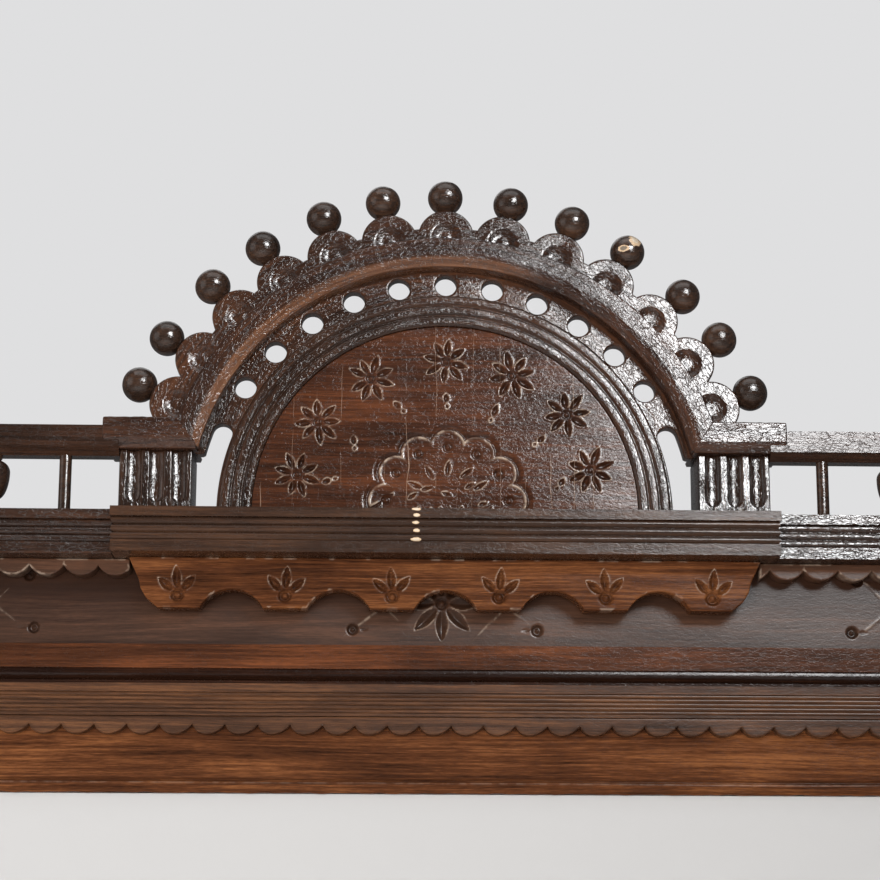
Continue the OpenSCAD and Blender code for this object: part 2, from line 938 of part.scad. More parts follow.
base_rail();
lower_scallop_strip();
waist_moulding();
cove_moulding();
frieze_bead();
frieze_board();
end_pilaster_left();
end_pilaster_right();
side_scallop_left();
side_scallop_right();
cornice_centre();
cornice_left();
cornice_right();
apron();
apron_packing();
end_cheek_left();
end_cheek_right();
top_board();
back_rail();
back_battens();
glue_blocks();
screws();
pediment_board();
tympanum_panel();
reeded_frame();
hood_arch();
hood_cap_left();
hood_cap_right();
pedestal_left();
pedestal_right();
pediment_battens();
shelf_dowels();
finial_dowels();
ball_finial(1);  // ball_finial_01
ball_finial(2);  // ball_finial_02
ball_finial(3);  // ball_finial_03
ball_finial(4);  // ball_finial_04
ball_finial(5);  // ball_finial_05
ball_finial(6);  // ball_finial_06
ball_finial(7);  // ball_finial_07
ball_finial(8);  // ball_finial_08
ball_finial(9);  // ball_finial_09
ball_finial(10);  // ball_finial_10
ball_finial(11);  // ball_finial_11
ball_finial(12);  // ball_finial_12
ball_finial(13);  // ball_finial_13
gallery_rail_left();
gallery_rail_right();
gallery_rods_left();
gallery_rods_right();
baluster_left_inner();
baluster_left_outer();
baluster_right_inner();
baluster_right_outer();
end_post_left();
end_post_right();
end_cap_left();
end_cap_right();
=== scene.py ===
"""Carved and turned cresting of a headboard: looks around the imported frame."""
import math

import bmesh
import bpy
import numpy as np
from mathutils import Matrix, Vector


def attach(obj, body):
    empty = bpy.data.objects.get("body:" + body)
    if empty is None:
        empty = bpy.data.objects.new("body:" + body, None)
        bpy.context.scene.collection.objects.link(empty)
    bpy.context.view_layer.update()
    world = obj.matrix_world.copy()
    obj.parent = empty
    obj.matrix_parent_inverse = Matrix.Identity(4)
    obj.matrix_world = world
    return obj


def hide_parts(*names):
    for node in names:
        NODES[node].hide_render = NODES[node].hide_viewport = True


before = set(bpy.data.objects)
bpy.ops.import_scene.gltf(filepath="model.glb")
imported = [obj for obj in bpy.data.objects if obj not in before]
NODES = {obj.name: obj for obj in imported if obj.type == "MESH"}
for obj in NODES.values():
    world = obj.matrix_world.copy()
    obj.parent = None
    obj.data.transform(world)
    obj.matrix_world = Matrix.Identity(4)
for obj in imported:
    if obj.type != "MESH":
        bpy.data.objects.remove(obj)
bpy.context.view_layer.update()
MM = 0.001
CENTRE_Z = 0.254        # height of the centre of the pediment's arcs


# ------------------------------------------------------------------ node helpers
class Graph:
    """A short way to write a node tree."""

    def __init__(self, tree):
        self.tree = tree
        tree.nodes.clear()

    def node(self, kind, **values):
        n = self.tree.nodes.new("ShaderNode" + kind)
        inputs = values.pop("inputs", {})
        for key, value in values.items():
            setattr(n, key, value)
        for key, value in inputs.items():
            self.feed(n.inputs[key], value)
        return n

    def feed(self, socket, value):
        if hasattr(value, "is_output"):
            self.tree.links.new(value, socket)
        else:
            socket.default_value = value

    def math(self, op, a, b, clamp=False):
        return self.node("Math", operation=op, use_clamp=clamp, inputs={0: a, 1: b}).outputs[0]

    def vector(self, op, a, b):
        return self.node("VectorMath", operation=op, inputs={0: a, 1: b}).outputs[0]

    def length(self, a):
        return self.node("VectorMath", operation="LENGTH", inputs={0: a}).outputs["Value"]

    def total(self, *parts):
        """The sum of each value times its weight."""
        out = None
        for value, weight in parts:
            term = self.math("MULTIPLY", value, weight)
            out = term if out is None else self.math("ADD", out, term)
        return out

    def mix(self, fac, a, b):
        n = self.node("Mix", data_type="RGBA", blend_type="MIX", inputs={0: fac, 6: a, 7: b})
        return n.outputs[2]

    def ramp(self, fac, *stops):
        n = self.node("ValToRGB")
        self.feed(n.inputs[0], fac)
        r = n.color_ramp
        while len(r.elements) < len(stops):
            r.elements.new(0.5)
        for e, (at, col) in zip(r.elements, stops):
            e.position = at
            e.color = (*col, 1) if hasattr(col, "__len__") else (col, col, col, 1)
        return n.outputs[0]

    def mapped(self, vector, scale):
        return self.node("Mapping", inputs={0: vector, 3: scale}).outputs[0]

    def noise(self, vector, scale, detail=2.0, rough=0.5, distort=0.0):
        n = self.node("TexNoise", inputs={"Vector": vector, "Scale": scale, "Detail": detail,
                                          "Roughness": rough, "Distortion": distort})
        return n.outputs[0]

    def here(self):
        return self.node("TexCoord").outputs["Object"]

    def surface(self, mat, **sockets):
        """Ends a material with one Principled shader. Underscores stand for spaces in the sockets' names."""
        inputs = {key.replace("_", " "): value for key, value in sockets.items()}
        bsdf = self.node("BsdfPrincipled", inputs=inputs)
        self.node("OutputMaterial", inputs={"Surface": bsdf.outputs[0]})
        return mat


def blank(name):
    """A new material and its empty node tree."""
    mat = bpy.data.materials.new(name)
    mat.use_nodes = True
    return mat, Graph(mat.node_tree)


def lin(r, g, b):
    """An sRGB colour, 0 to 255, as linear."""
    return tuple(((v / 255 + 0.055) / 1.055) ** 2.4 if v > 10 else v / 255 / 12.92 for v in (r, g, b))


# ------------------------------------------------------------------ finishes
# painted shade under the cornice, with some grime
CORNICE_SHADE = (*lin(34, 19, 12), 1)
HOLLOW = (*lin(16, 10, 7), 1)
# pale lips and rims of the carving: painted highlight, partly wear
LIP_GLINT_AND_WEAR = (*lin(184, 164, 146), 1)
SPLIT = (*lin(14, 9, 7), 1)
CRACK = (*lin(168, 140, 120), 1)
BARE = (*lin(226, 210, 188), 1)
BARE_RIM = (*lin(214, 184, 150), 1)
BARE_REACH = 0.016      # how far from its centre a bare spot can show
# where the painted light on the hood's inner bevel lies: its radius, and across
LIT_BEVEL_RADIUS = (0.2395, 0.2425)
LIT_BEVEL_ACROSS = (0.0, 0.10)
CRACK_SPACING, CRACK_WIDTH = 0.0105, 0.00024


def grain_space(g, here, xyz, along):
    """The object's coordinates, turned so that the grain runs along the first of them. Returns them and,
    for an arc, the radius."""
    if along == "arc":
        up = g.math("SUBTRACT", xyz[2], CENTRE_Z)
        square = g.math("ADD", g.math("MULTIPLY", up, up), g.math("MULTIPLY", xyz[0], xyz[0]))
        radius = g.math("POWER", square, 0.5)
        turn = g.math("MULTIPLY", g.math("ARCTAN2", up, xyz[0]), 0.26)
        return g.node("CombineXYZ", inputs={0: turn, 1: xyz[1], 2: radius}).outputs[0], radius
    if along == "z":
        return g.node("CombineXYZ", inputs={0: xyz[2], 1: xyz[1], 2: xyz[0]}).outputs[0], None
    return here, None


def hairlines(g, here, across):
    """Fine upright cracks in the varnish: up to 1 on a crack and 0 elsewhere."""
    sway = g.math("MULTIPLY", g.noise(g.mapped(here, (9, 1, 14)), 1.0), 0.012)
    drift = g.math("MULTIPLY", g.noise(g.mapped(here, (55, 1, 1)), 1.0, 1), 0.03)
    lane = g.math("ADD", g.math("ADD", across, sway), drift)
    gap = g.math("PINGPONG", g.math("ADD", lane, 1.0), CRACK_SPACING)
    where = g.ramp(g.noise(g.mapped(here, (48, 1, 13)), 1.0), (0.50, 0.0), (0.58, 1.0))
    return g.math("MULTIPLY", g.math("LESS_THAN", gap, CRACK_WIDTH), where)


def bare_spot(g, here, x, y, z, half_w, half_h):
    """A chip with a ragged edge, and the rim of that chip."""
    off = g.vector("SUBTRACT", here, (x * MM, y * MM, z * MM))
    scaled = g.vector("MULTIPLY", off, (1 / half_w / MM, 0, 1 / half_h / MM))
    ragged = g.math("MULTIPLY", g.math("SUBTRACT", g.noise(here, 330.0, 2, 0.6), 0.5), 0.9)
    reach = g.math("ADD", g.length(scaled), ragged)
    near = g.math("LESS_THAN", g.length(off), BARE_REACH)
    bare = g.math("MULTIPLY", g.math("LESS_THAN", reach, 1.0), near)
    return bare, g.math("MULTIPLY", bare, g.math("GREATER_THAN", reach, 0.62))


def varnished(name, dark, mid, light, along="x", crinkle=1.0, rough=0.075, shine=0.5, cracks=False, chips=(),
              lit_bevel=False, cornice_shade=None):
    """Old wood under a thick, crinkled varnish. along is the direction of the grain: x, z or arc.
    chips are small bare spots: (x, y, z, half width, half height, outline only), in millimetres.
    lit_bevel lightens the inner bevel of the hood's left half: painted light, as where light falls on it.
    cornice_shade gives two heights, in millimetres, between which the wood darkens upwards: painted shade
    under the cornice, with some grime."""
    mat, g = blank(name)
    here = g.here()
    xyz = g.node("SeparateXYZ", inputs={0: here}).outputs
    grain_at, radius = grain_space(g, here, xyz, along)

    # grain: slow bands, fine streaks, pores and patches
    bend = g.math("MULTIPLY", g.noise(g.mapped(grain_at, (2.5, 9, 9)), 1.0), 0.02)
    waved = g.vector("ADD", grain_at, g.node("CombineXYZ", inputs={2: bend}).outputs[0])
    bands = g.noise(g.mapped(waved, (4, 62, 62)), 1.0, 3, 0.55)
    streaks = g.noise(g.mapped(waved, (10, 430, 430)), 1.0, 4, 0.62)
    pores = g.noise(g.mapped(waved, (90, 1500, 1500)), 1.0, 2, 0.6)
    patches = g.noise(g.mapped(grain_at, (6, 13, 13)), 1.0, 3, 0.55, 0.3)
    tone = g.total((bands, 0.22), (streaks, 0.34), (pores, 0.20), (patches, 0.24))
    colour = g.ramp(tone, (0.39, dark), (0.50, mid), (0.62, light))
    # painted light: the inner bevel of the hood's left half is lighter and tan
    if lit_bevel:
        inner = g.ramp(radius, (LIT_BEVEL_RADIUS[0], 1.0), (LIT_BEVEL_RADIUS[1], 0.0))
        west = g.ramp(xyz[0], (LIT_BEVEL_ACROSS[0], 1.0), (LIT_BEVEL_ACROSS[1], 0.0))
        lit_bevel_tone = g.ramp(streaks, (0.3, lin(88, 54, 36)), (0.7, lin(160, 112, 82)))
        colour = g.mix(g.math("MULTIPLY", g.math("MULTIPLY", inner, west), 0.5), colour, lit_bevel_tone)
    # painted shade under the cornice, with some grime: the wood darkens towards the top
    if cornice_shade:
        drift = g.math("MULTIPLY", g.math("SUBTRACT", bands, 0.5), 0.03)
        shade_under_cornice = g.ramp(g.math("ADD", xyz[2], drift), (cornice_shade[0] * MM, 0.0), (cornice_shade[1] * MM, 0.8))
        colour = g.mix(shade_under_cornice, colour, CORNICE_SHADE)

    # the carving: "cut" is above 0 in a hollow, which is darker, and below 0 on a lip, which is painted pale:
    # a painted highlight, partly wear
    cut = g.node("Attribute", attribute_name="cut").outputs["Fac"]
    hollow = g.math("MULTIPLY", g.math("MULTIPLY", cut, 0.6, clamp=True), 0.3)
    colour = g.mix(hollow, colour, HOLLOW)
    patchy = g.ramp(g.noise(here, 130.0), (0.42, 0.12), (0.58, 0.85))
    lip = g.math("MULTIPLY", g.math("MULTIPLY", cut, -1.3, clamp=True), patchy)
    colour = g.mix(lip, colour, LIP_GLINT_AND_WEAR)

    # the varnish's height: slow waves, pebbles along the grain, specks, veins and the grain itself
    drawn = g.mapped(grain_at, (0.45, 1, 1))
    shake = g.node("TexNoise", inputs={"Vector": drawn, "Scale": 260.0, "Detail": 2.0}).outputs[1]
    veins_at = g.vector("ADD", drawn, g.node("VectorMath", operation="SCALE",
                                             inputs={0: shake, 3: 0.007}).outputs[0])
    cells = g.node("TexVoronoi", feature="DISTANCE_TO_EDGE",
                   inputs={"Vector": veins_at, "Scale": 260.0, "Randomness": 1.0}).outputs[0]
    vein = g.ramp(cells, (0.0, 0.0), (0.09, 1.0))
    broken = g.noise(here, 70.0)
    split = g.math("MULTIPLY", g.math("SUBTRACT", 1.0, vein), g.ramp(broken, (0.42, 0.0), (0.52, crinkle)),
                   clamp=True)
    colour = g.mix(g.math("MULTIPLY", split, 0.6), colour, SPLIT)
    specks = g.ramp(g.noise(here, 620.0, 1), (0.64, 0.0), (0.72, 1.0))
    skin = g.total((g.noise(here, 38.0), 0.20), (g.noise(drawn, 150.0), 0.22),
                   (g.noise(drawn, 400.0, 3, 0.65), 0.40), (g.noise(drawn, 1000.0, 2, 0.6), 0.12),
                   (specks, 0.12), (g.math("MULTIPLY", vein, broken), 0.20), (streaks, 0.035))
    if cracks:
        lack = hairlines(g, here, xyz[0])
        skin = g.math("SUBTRACT", skin, g.math("MULTIPLY", lack, 0.10))
        colour = g.mix(g.math("MULTIPLY", lack, 0.55), colour, CRACK)
    for *spot, outline in chips:
        bare, rim = bare_spot(g, here, *spot)
        skin = g.math("SUBTRACT", skin, g.math("MULTIPLY", bare, 0.35))
        colour = g.mix(g.math("MULTIPLY", bare, 0.25 if outline else 0.9), colour, BARE)
        colour = g.mix(g.math("MULTIPLY", rim, 0.9), colour, BARE_RIM)

    bump = g.node("Bump", inputs={"Strength": 1.0, "Distance": 0.001 * crinkle, "Height": skin})
    grit = g.math("MULTIPLY", g.math("SUBTRACT", g.noise(here, 900.0, 2, 0.6), 0.5), 0.06)
    wear = g.math("ADD", g.math("ADD", rough, grit), g.math("MULTIPLY", split, 0.45))
    return g.surface(mat, Base_Color=colour, Roughness=wear, Normal=bump.outputs[0], IOR=1.52,
                     Specular_IOR_Level=shine)


def raw_wood(name):
    mat, g = blank(name)
    here = g.here()
    streaks = g.noise(g.mapped(here, (5, 120, 120)), 1.0, 5, 0.6)
    saw = g.noise(g.mapped(here, (260, 20, 20)), 1.0)
    colour = g.ramp(streaks, (0.3, lin(104, 74, 46)), (0.5, lin(146, 108, 70)), (0.72, lin(176, 138, 96)))
    height = g.math("ADD", streaks, g.math("MULTIPLY", saw, 0.4))
    bump = g.node("Bump", inputs={"Strength": 1.0, "Distance": 0.0004, "Height": height})
    return g.surface(mat, Base_Color=colour, Roughness=0.72, Normal=bump.outputs[0])


def steel(name):
    mat, g = blank(name)
    colour = g.ramp(g.noise(g.here(), 700.0, 3, 0.6), (0.35, lin(96, 78, 62)), (0.6, lin(150, 148, 146)))
    return g.surface(mat, Base_Color=colour, Metallic=1.0, Roughness=0.42)


# across, height, half width and half height of the nicks in the centre cornice
NICK_ROWS = ((0, 246, 4.2, 1.3), (0.5, 240.6, 3, 1.5), (-0.3, 234.2, 3.2, 1.5), (0.3, 227, 3, 1.5),
             (0, 219, 4.5, 1.7))
NICKS = [(-27 + dx, -48, z, w, h, False) for dx, z, w, h in NICK_ROWS]
BALL_CHIPS = ((176.8, 0, 516.8, 5.7, 7.3, False), (165.5, 0, 507.7, 5.5, 3.0, True))
SMOKE = lin(44, 29, 22), lin(66, 45, 34), lin(92, 62, 46)
UMBER = lin(28, 20, 15), lin(52, 37, 29), lin(82, 57, 42)

DARK = varnished("dark_varnish", lin(26, 17, 12), lin(44, 29, 22), lin(68, 44, 31))
SMOKED = varnished("smoked_varnish", *SMOKE, crinkle=0.18, rough=0.3, shine=0.2)
# the frieze's finish, with painted shade under the cornice
CORNICE_SHADED = varnished("cornice_shaded_varnish", *SMOKE, crinkle=0.18, rough=0.3, shine=0.2, cornice_shade=(156, 182))
# the cove under the bead: darker colour as painted shade
COVE_SHADE = varnished("cove_shade_varnish", lin(24, 13, 9), lin(36, 20, 13), lin(56, 32, 20),
                   crinkle=0.25, rough=0.2, shine=0.15)
RED = varnished("red_varnish", lin(42, 24, 15), lin(84, 49, 29), lin(134, 85, 50),
                crinkle=0.25, rough=0.2, shine=0.035)
BEADED = varnished("bead_varnish", lin(42, 24, 15), lin(74, 42, 25), lin(116, 66, 37),
                   crinkle=0.25, rough=0.2, shine=0.12)
WAISTED = varnished("waist_varnish", lin(40, 26, 18), lin(71, 47, 33), lin(112, 74, 48),
                    crinkle=0.18, rough=0.28, shine=0.15)
PANEL = varnished("panel_varnish", lin(38, 22, 14), lin(66, 38, 25), lin(104, 60, 36),
                  crinkle=0.42, rough=0.12, shine=0.2, cracks=True)
ARCHED = varnished("arch_varnish", lin(31, 19, 14), lin(54, 34, 24), lin(94, 59, 39),
                   along="arc", crinkle=0.85, shine=0.42)
# the hood, with painted light on the left half of its inner bevel
HOODED = varnished("hood_varnish", lin(28, 17, 13), lin(49, 31, 23), lin(84, 54, 38),
                   along="arc", crinkle=0.9, shine=0.34, lit_bevel=True)
FRAMED = varnished("frame_varnish", lin(26, 16, 11), lin(46, 29, 20), lin(74, 47, 31),
                   along="arc", crinkle=0.75, shine=0.38)
CAPPED = varnished("cap_varnish", lin(27, 16, 12), lin(47, 29, 21), lin(82, 52, 36), shine=0.42)
UPRIGHT = varnished("upright_varnish", lin(24, 16, 12), lin(42, 28, 21), lin(66, 44, 31),
                    along="z", crinkle=0.6)
TURNED = varnished("turned_varnish", *UMBER, crinkle=0.4, rough=0.14, shine=0.42)
CHIPPED = varnished("chipped_varnish", *UMBER, crinkle=0.4, rough=0.14, chips=BALL_CHIPS)
NICKED = varnished("nicked_varnish", lin(36, 25, 19), lin(56, 39, 30), lin(82, 56, 40),
                   crinkle=0.35, rough=0.2, shine=0.18, chips=NICKS)
RAILED = varnished("rail_varnish", lin(26, 17, 12), lin(46, 30, 22), lin(70, 45, 32),
                   crinkle=0.6, rough=0.2, shine=0.28)
RAW = raw_wood("raw_wood")
STEEL = steel("steel")

# the CAD nodes that stay in view, by the start of their names. The others in view are dark.
FINISHES = (
    (RAW, ("back_rail", "back_battens", "glue_blocks", "apron_packing", "pediment_battens", "shelf_dowels",
           "finial_dowels")),
    (STEEL, ("screws",)),
    (TURNED, ("gallery_rods",)),
    (UPRIGHT, ("end_post", "end_pilaster")),
    (COVE_SHADE, ("cove_moulding",)),
    (NICKED, ("cornice_centre",)),
    (RAILED, ("gallery_rail",)),
    (WAISTED, ("waist_moulding",)),
    (BEADED, ("frieze_bead",)),
)
WORN_EDGE = 1.2 * MM

for name, node in NODES.items():
    node.data.materials.clear()
    node.data.materials.append(next((mat for mat, starts in FINISHES if name.startswith(starts)), DARK))
    if name != "screws":
        soften = node.modifiers.new("worn_edges", "BEVEL")
        soften.width = WORN_EDGE
        soften.segments = 2
        soften.limit_method = "ANGLE"
        soften.angle_limit = math.radians(32)


# ------------------------------------------------------------------ mesh tools, in millimetres
def ripple(x, z, seed, wave, height, stretch=1.0):
    """Slow, smooth unevenness of a hand-worked surface."""
    rng = np.random.default_rng(seed)
    total = np.zeros_like(x, dtype=float)
    for _ in range(9):
        a, p = rng.uniform(0, 2 * math.pi, 2)
        k = 2 * math.pi / (wave * rng.uniform(0.6, 1.8))
        total += np.sin(k * (x * math.cos(a) / stretch + z * math.sin(a)) + p)
    return total * height / 3


def to_object(name, verts, faces, mat, slot, *nodes):
    """A mesh object from points in millimetres. It rides on the one body and stands for the CAD nodes."""
    mesh = bpy.data.meshes.new(name)
    mesh.from_pydata((np.asarray(verts, float) * MM).tolist(), [], faces)
    mesh.update()
    mesh.polygons.foreach_set("use_smooth", [True] * len(mesh.polygons))
    mesh.materials.append(mat)
    obj = bpy.data.objects.new(name, mesh)
    bpy.context.scene.collection.objects.link(obj)
    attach(obj, "root")
    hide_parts(*nodes)
    return obj


def slope(sdf, x, z):
    """The direction in which sdf grows fastest, as a unit vector."""
    h = 0.15
    gx = (sdf(x + h, z) - sdf(x - h, z)) / (2 * h)
    gz = (sdf(x, z + h) - sdf(x, z - h)) / (2 * h)
    size = np.maximum(np.hypot(gx, gz), 1e-6)
    return gx / size, gz / size


ROUND_STEPS = 3         # steps round each edge of a board


def slab_mesh(X, Z, sdf, y0, y1, edge=0.9, relief=None, full_back=False):
    """A board between y0 (front) and y1, cut to sdf < 0, with its edges rounded by edge and its front
    raised by relief. X grows along the second index and Z along the first. The back is one face, or
    with full_back a grid, which a board with holes needs. Returns points and faces."""
    def inner(x, z):
        return sdf(x, z) + edge

    # keep the cells with a corner well inside the outline, and find the directed edges round them
    X, Z = X.copy(), Z.copy()
    d = inner(X, Z)
    step = min(np.abs(np.diff(X, axis=1)).max() + np.abs(np.diff(Z, axis=1)).max(),
               np.abs(np.diff(Z, axis=0)).max() + np.abs(np.diff(X, axis=0)).max())
    deep = d < -0.22 * step
    keep = deep[:-1, :-1] | deep[1:, :-1] | deep[:-1, 1:] | deep[1:, 1:]
    ny, nx = X.shape
    used = np.zeros((ny, nx), bool)
    for a, b in ((0, 0), (1, 0), (0, 1), (1, 1)):
        used[a:ny - 1 + a, b:nx - 1 + b] |= keep
    pad = np.pad(keep, 1)
    index = np.arange(ny * nx).reshape(ny, nx)
    low, right = keep & ~pad[:-2, 1:-1], keep & ~pad[1:-1, 2:]
    high, left = keep & ~pad[2:, 1:-1], keep & ~pad[1:-1, :-2]
    edges = np.concatenate([
        np.stack([index[:-1, :-1][low], index[:-1, 1:][low]], 1),
        np.stack([index[:-1, 1:][right], index[1:, 1:][right]], 1),
        np.stack([index[1:, 1:][high], index[1:, :-1][high]], 1),
        np.stack([index[1:, :-1][left], index[:-1, :-1][left]], 1)])
    rim = np.unique(edges)
    # move the rim, and any point beyond it, to the inner outline, which lies edge inside the true one
    fx, fz = X.ravel(), Z.ravel()
    move = np.unique(np.concatenate([rim, np.flatnonzero((used & (d > 0)).ravel())]))
    for _ in range(5):
        x, z = fx[move], fz[move]
        gx, gz = slope(inner, x, z)
        gap = np.clip(inner(x, z), -2 * step, 2 * step)
        fx[move], fz[move] = x - gap * gx, z - gap * gz
    lift = relief(fx, fz) if relief else np.zeros_like(fx)
    front = np.stack([fx, y0 - lift, fz], 1)
    new = -np.ones(ny * nx, int)
    ids = np.flatnonzero(used.ravel())
    new[ids] = np.arange(len(ids))
    points = [front[ids]]
    count = len(ids)
    quads = [new[np.stack([index[:-1, :-1][keep], index[:-1, 1:][keep], index[1:, 1:][keep],
                           index[1:, :-1][keep]], 1)]]
    # walls: round the front edge, go straight back and round the back edge
    out_x, out_z = slope(sdf, fx[rim], fz[rim])
    place = -np.ones(ny * nx, int)
    place[rim] = np.arange(len(rim))
    rows = [new[rim]]
    steps = [(k, True) for k in range(1, ROUND_STEPS + 1)] + [(k, False) for k in range(ROUND_STEPS, -1, -1)]
    for k, at_front in steps:
        t = math.pi / 2 * k / ROUND_STEPS
        inset = edge * (1 - math.cos(t))
        y = y0 - lift[rim] + inset if at_front else np.full(len(rim), y1 - inset)
        points.append(np.stack([fx[rim] + out_x * edge * math.sin(t), y,
                                fz[rim] + out_z * edge * math.sin(t)], 1))
        rows.append(np.arange(count, count + len(rim)))
        count += len(rim)
    a, b = place[edges[:, 0]], place[edges[:, 1]]
    for upper, lower in zip(rows[:-1], rows[1:]):
        quads.append(np.stack([upper[b], upper[a], lower[a], lower[b]], 1))
    last = rows[-1]
    faces = []
    if full_back:
        behind = -np.ones(ny * nx, int)
        behind[rim] = last
        rest = ids[place[ids] < 0]
        behind[rest] = np.arange(count, count + len(rest))
        points.append(np.stack([fx[rest], np.full(len(rest), float(y1)), fz[rest]], 1))
        cell = np.stack([index[:-1, :-1][keep], index[1:, :-1][keep], index[1:, 1:][keep],
                         index[:-1, 1:][keep]], 1)
        quads.append(behind[cell])
    else:
        after = dict(zip(b.tolist(), a.tolist()))
        while after:
            start, here = next(iter(after.items()))
            loop = [start]
            while here != start and here in after:
                loop.append(here)
                here = after.pop(here)
            after.pop(start, None)
            faces.append(last[loop].tolist())
    return np.concatenate(points), np.concatenate(quads).tolist() + faces


def store_depth(obj, depth):
    """Stores the carving's depth at each point, for the finish, which paints shade and highlight from it."""
    obj.data.attributes.new("cut", "FLOAT", "POINT").data.foreach_set("value", np.asarray(depth, np.float32))


def slab(name, mat, slot, nodes, X, Z, sdf, y0, y1, cut=None, **options):
    """A board as one object. cut gives the depth of its carving, which the finish darkens, and below 0 the
    lips, which it paints pale as highlight, partly wear."""
    points, faces = slab_mesh(X, Z, sdf, y0, y1, **options)
    obj = to_object(name, points, faces, mat, slot, *nodes)
    if cut:
        store_depth(obj, np.where(points[:, 1] < y0 + 6, cut(points[:, 0], points[:, 2]), 0))


def flat_grid(x, z):
    return np.meshgrid(np.asarray(x, float), np.asarray(z, float))


def spaced(low, high, pitch):
    return np.linspace(low, high, max(2, int(round((high - low) / pitch)) + 1))


def uneven(low, high, fine, coarse, places, reach):
    """Positions from low to high, closer together within reach of each place."""
    out, at = [low], low
    while at < high:
        near = min(abs(at - p) for p in places) < reach
        at += fine if near else coarse
        out.append(min(at, high))
    return np.array(out)


def polar_grid(radii, pitch):
    """Rings about the arcs' centre, from the left foot on the cornice to the right."""
    radii = np.asarray(radii, float)
    turns = np.linspace(math.pi + 0.05, -0.05, int(3.24 * radii.max() * 0.85 / pitch))
    R, T = np.meshgrid(radii, turns, indexing="ij")
    return R * np.cos(T), R * np.sin(T) + CENTRE_Z / MM


def lens(x, z, cx, cz, turn, r0, r1, width, depth, sharp=1.0):
    """Depth of one gouge mark that runs from r0 to r1 along turn, seen from (cx, cz)."""
    c, s = math.cos(turn), math.sin(turn)
    u = ((x - cx) * c + (z - cz) * s - r0) / (r1 - r0)
    v = np.abs(-(x - cx) * s + (z - cz) * c)
    inside = (u > 0) & (u < 1)
    t = np.clip(u, 0, 1)
    half = width / 2 * np.sin(math.pi * t ** 0.85) ** 0.75 + 1e-6
    out = depth * np.sin(math.pi * t) ** 0.5 * np.clip(1 - (v / half) ** sharp, 0, 1)
    return np.where(inside, out, 0.0)


def lipped(x, z, cx, cz, turn, r0, r1, width, depth, sharp=1.0):
    """The same mark with a thin lip, below 0, thrown up round it."""
    mark = lens(x, z, cx, cz, turn, r0, r1, width, depth, sharp)
    round_it = lens(x, z, cx, cz, turn, r0 - 1.4, r1 + 1.6, width + 3.4, 1.0, sharp)
    return np.where(mark > 0, mark, -np.clip(1.6 * round_it, 0, 1))


def deepest(a, b):
    """Two sets of marks together: a cut wins over a lip."""
    return np.where((a > 0) | (b > 0), np.maximum(a, b), np.minimum(a, b))


def pip(x, z, cx, cz, radius, depth):
    """A punched ring with a small dome left standing in its middle."""
    r = np.hypot(x - cx, z - cz) / radius
    ring = np.exp(-((r - 0.68) / 0.26) ** 2)
    return depth * np.where(r < 1.6, ring, 0.0)


TURNED_SEGMENTS = 40
TURNED_WOBBLE = 0.005


def lathe(name, mat, slot, nodes, profile, axis_xyz, seed):
    """A turned piece: profile is (radius, height) from the bottom to the top, about a vertical axis."""
    profile = np.array(profile, float)
    n, m = len(profile), TURNED_SEGMENTS
    turn = np.linspace(0, 2 * math.pi, m, endpoint=False)
    R = profile[:, :1] * (1 + TURNED_WOBBLE * np.sin(turn + seed)[None] * np.sin(profile[:, 1:] / 5 + seed))
    pts = np.stack([axis_xyz[0] + R * np.cos(turn), axis_xyz[1] + R * np.sin(turn),
                    axis_xyz[2] + np.repeat(profile[:, 1:], m, 1)], 2).reshape(-1, 3)
    faces = [[i * m + j, i * m + (j + 1) % m, (i + 1) * m + (j + 1) % m, (i + 1) * m + j]
             for i in range(n - 1) for j in range(m)]
    faces += [list(range(m))[::-1], list(range((n - 1) * m, n * m))]
    to_object(name, pts, faces, mat, slot, *nodes)


# ------------------------------------------------------------------ carved pieces
rng = np.random.default_rng(7)
CZ = CENTRE_Z / MM
FLOOR = CZ - 7          # top of the cornice, on which the pediment stands
# the mitre between the hood and its caps, from the arcs' centre, and how far each runs past it
MITRE_FOOT, MITRE_TOP = np.array([224.4, 55.5]), np.array([243.4, 84.0])
MITRE_LAP = 0.9
LOBES = range(-6, 7)
LOBE_TURN = [11.4 * k - (abs(k) == 6) * (1 if k > 0 else -1) for k in LOBES]
BALL_OFF = [0.7, -0.2, 0.6, 0.3, 0.9, 0.3, -0.1, 0.1, 0, -0.4, 0.7, -0.7, -0.2]


def on_ring(radius, turn, centre=CZ):
    """The point of the pediment at that radius, turn degrees from the vertical, positive to the right."""
    a = math.radians(90 - turn)
    return radius * math.cos(a), centre + radius * math.sin(a)


